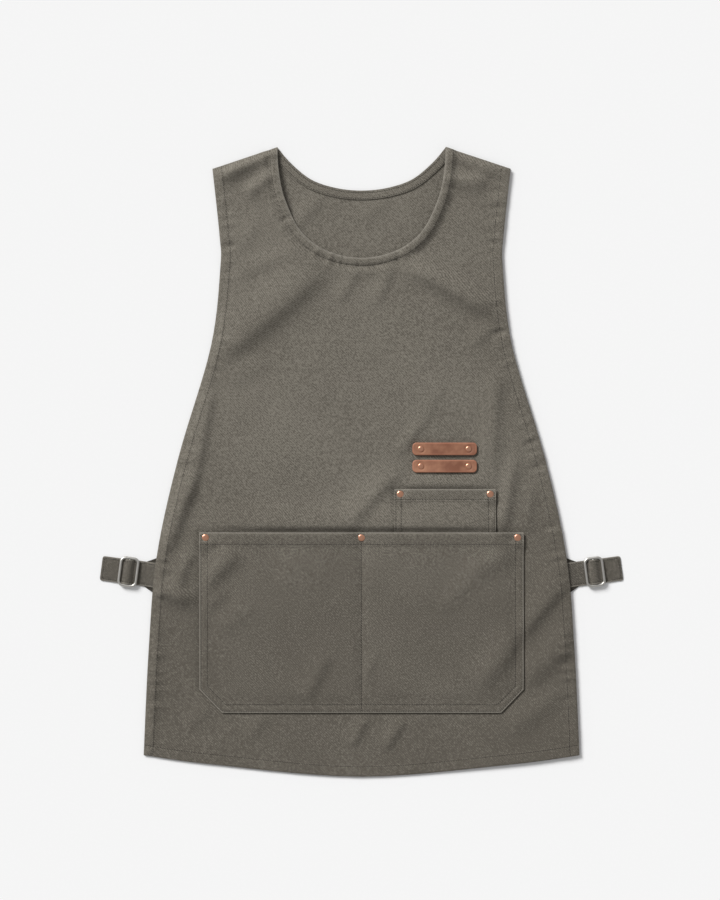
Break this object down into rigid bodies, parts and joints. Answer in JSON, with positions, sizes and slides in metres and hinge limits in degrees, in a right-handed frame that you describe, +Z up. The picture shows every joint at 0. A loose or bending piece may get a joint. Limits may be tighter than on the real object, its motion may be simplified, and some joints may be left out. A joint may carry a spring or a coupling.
{
  "type": "artist smock apron",
  "caption": "Canvas smock apron laid flat: front and back panels joined at the shoulders, riveted pockets, leather tool keepers and an adjustable strap and slider at each side.",
  "frame": {"origin": "centre of the laid-out garment's box, on the table under the back panel", "axes": "+Y towards the neck, +X to the viewer's right as the front faces up, +Z up from the table"},
  "size_m": [0.6276, 0.756, 0.0131],
  "materials": {
    "canvas": "washed cotton canvas, matt",
    "leather": "vegetable-tanned, semi-matt",
    "copper": "copper-plated, polished and slightly worn",
    "nickel": "nickel-plated wire, satin"
  },
  "bodies": {
    "back": {"back_panel": "canvas", "back_neck_facing": "canvas", "left_shoulder_seam": "canvas", "right_shoulder_seam": "canvas", "left_back_tab": "canvas", "right_back_tab": "canvas"},
    "front": {"front_panel": "canvas", "front_neck_facing": "canvas", "wide_pocket": "canvas", "wide_pocket_turned_edge": "canvas", "tool_pocket": "canvas", "upper_leather_keeper": "leather", "lower_leather_keeper": "leather", "wide_pocket_rivet_cap_left": "copper", "wide_pocket_rivet_cap_middle": "copper", "wide_pocket_rivet_cap_right": "copper", "tool_pocket_rivet_cap_inner": "copper", "tool_pocket_rivet_cap_outer": "copper", "upper_keeper_rivet_cap_inner": "copper", "upper_keeper_rivet_cap_outer": "copper", "lower_keeper_rivet_cap_inner": "copper", "lower_keeper_rivet_cap_outer": "copper", "wide_pocket_rivet_back_left": "copper", "wide_pocket_rivet_back_middle": "copper", "wide_pocket_rivet_back_right": "copper", "tool_pocket_rivet_back_inner": "copper", "tool_pocket_rivet_back_outer": "copper", "upper_keeper_rivet_back_inner": "copper", "upper_keeper_rivet_back_outer": "copper", "lower_keeper_rivet_back_inner": "copper", "lower_keeper_rivet_back_outer": "copper"},
    "left_strap": {"left_front_strap": "canvas"},
    "right_strap": {"right_front_strap": "canvas"},
    "left_adjuster": {"left_slider": "nickel", "left_tab_loop": "canvas"},
    "right_adjuster": {"right_slider": "nickel", "right_tab_loop": "canvas"}
  },
  "joints": [
    {"name": "front_lift", "type": "hinge", "parent": "back", "child": "front", "pos_m": [0, 0.378, 0.00205], "axis": [-1, 0, 0], "range_deg": [0, 3]},
    {"name": "left_strap_lift", "type": "hinge", "parent": "back", "child": "left_strap", "pos_m": [0, 0.378, 0.00205], "axis": [-1, 0, 0], "range_deg": [0, 1.5]},
    {"name": "right_strap_lift", "type": "hinge", "parent": "back", "child": "right_strap", "pos_m": [0, 0.378, 0.00205], "axis": [-1, 0, 0], "range_deg": [0, 1.5]},
    {"name": "left_slider_slide", "type": "slide", "parent": "left_strap", "child": "left_adjuster", "axis": [0.9914, -0.1305, 0], "range_m": [0, 0.01]},
    {"name": "right_slider_slide", "type": "slide", "parent": "right_strap", "child": "right_adjuster", "axis": [-0.9914, -0.1305, 0], "range_m": [0, 0.01]}
  ],
  "couplings": [
    {"joint": "left_strap_lift", "follows": "front_lift", "ratio": 0.5},
    {"joint": "right_strap_lift", "follows": "front_lift", "ratio": 0.5}
  ]
}
